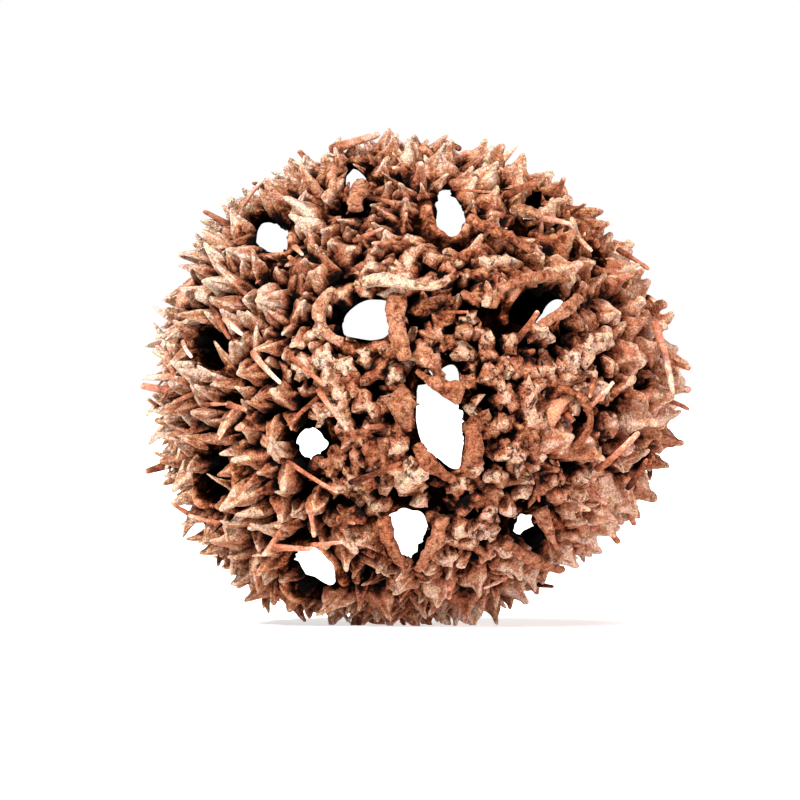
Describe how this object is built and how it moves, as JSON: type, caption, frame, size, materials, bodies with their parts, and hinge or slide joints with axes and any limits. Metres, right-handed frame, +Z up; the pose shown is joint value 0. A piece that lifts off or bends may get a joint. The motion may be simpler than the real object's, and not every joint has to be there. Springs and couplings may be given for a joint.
{
  "type": "sweetgum seed ball",
  "caption": "Dry woody sweetgum fruit head: a hollow, nearly round ball of fused capsules with lens-shaped open mouths, covered in stiff scales and spines.",
  "frame": {"origin": "on the surface that the ball rests on, under the middle of its box", "axes": "+Z up; -Y is the side the picture shows, with +X to its right"},
  "size_m": [0.0301, 0.0292, 0.0271],
  "materials": {
    "dry_wood": "dry, scurfy and matt, unfinished woody scales"
  },
  "bodies": {
    "root": {"seed_ball": "dry_wood"}
  },
  "joints": []
}
